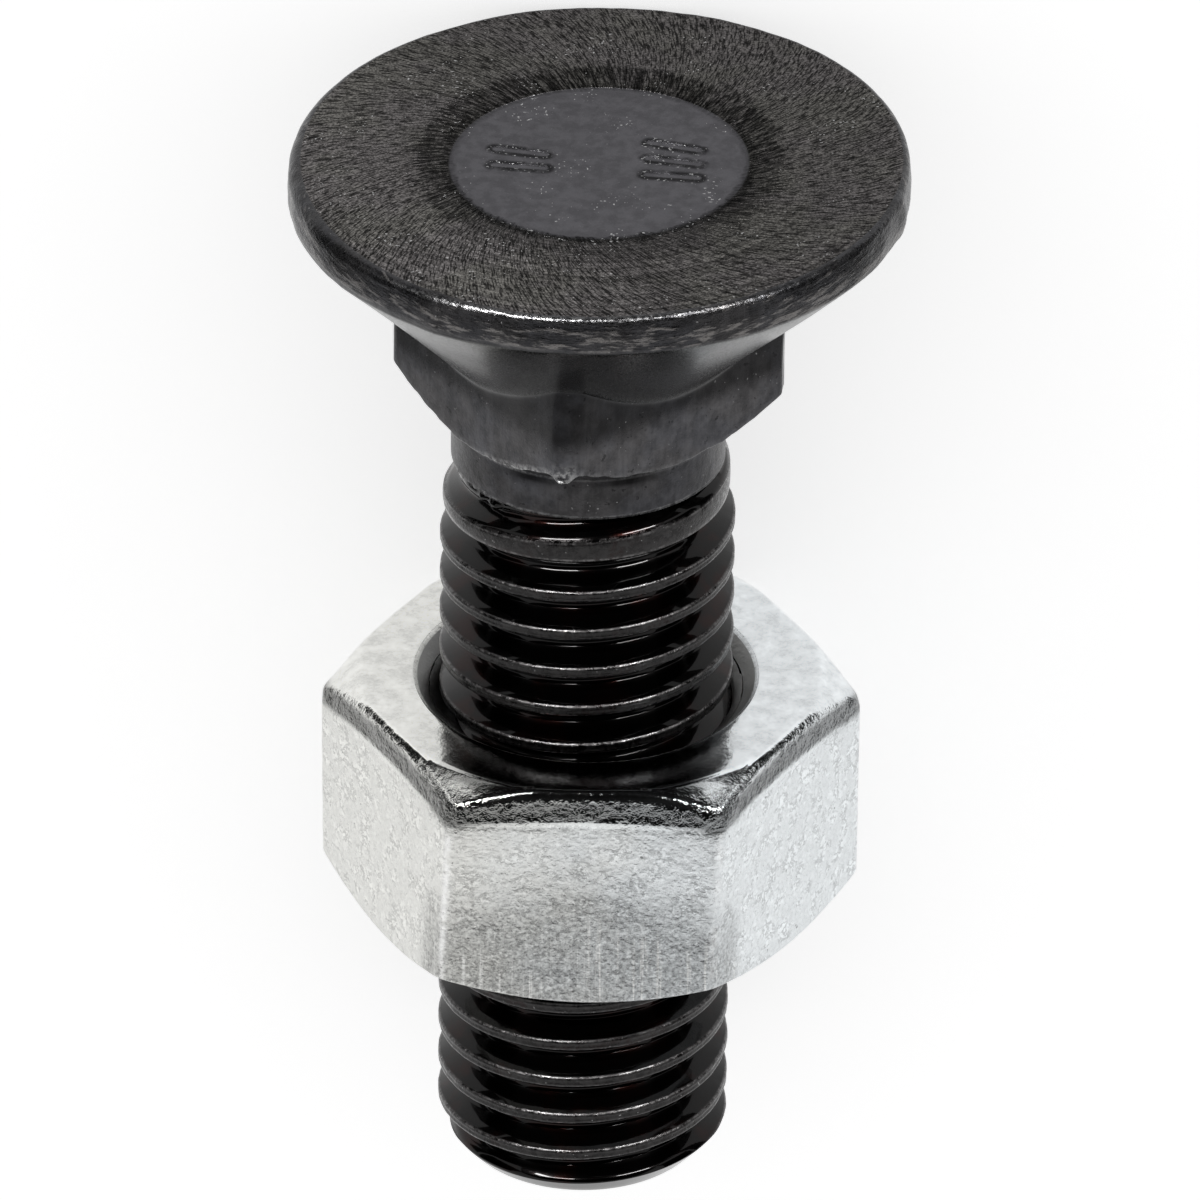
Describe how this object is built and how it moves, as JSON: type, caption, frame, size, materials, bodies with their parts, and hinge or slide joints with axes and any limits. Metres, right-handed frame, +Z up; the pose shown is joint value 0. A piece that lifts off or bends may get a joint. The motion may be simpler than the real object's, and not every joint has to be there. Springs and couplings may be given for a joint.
{
  "type": "plow bolt",
  "caption": "Countersunk square-neck plow bolt in black steel with a zinc-plated hexagon nut on its coarse right-hand thread.",
  "frame": {"origin": "centre of the bounding box's footprint, on the surface that the bolt lies on", "axes": "+Z up; +Y along the bolt from the head towards the thread end, which points about 5 degrees down; +X across it"},
  "size_m": [0.0242, 0.0462, 0.0243],
  "materials": {
    "black_steel": "black oxide, oiled on the thread, turned and scuffed on the head",
    "zinc_plate": "bright zinc plating with a faint blue tint, mottled and scratched"
  },
  "bodies": {
    "bolt_body": {"bolt": "black_steel"},
    "nut_body": {"hex_nut": "zinc_plate"}
  },
  "joints": [
    {"name": "nut_travel", "type": "slide", "parent": "bolt_body", "child": "nut_body", "axis": [0, 0.9962, -0.087], "range_m": [-0.00875, 0.021]}
  ]
}
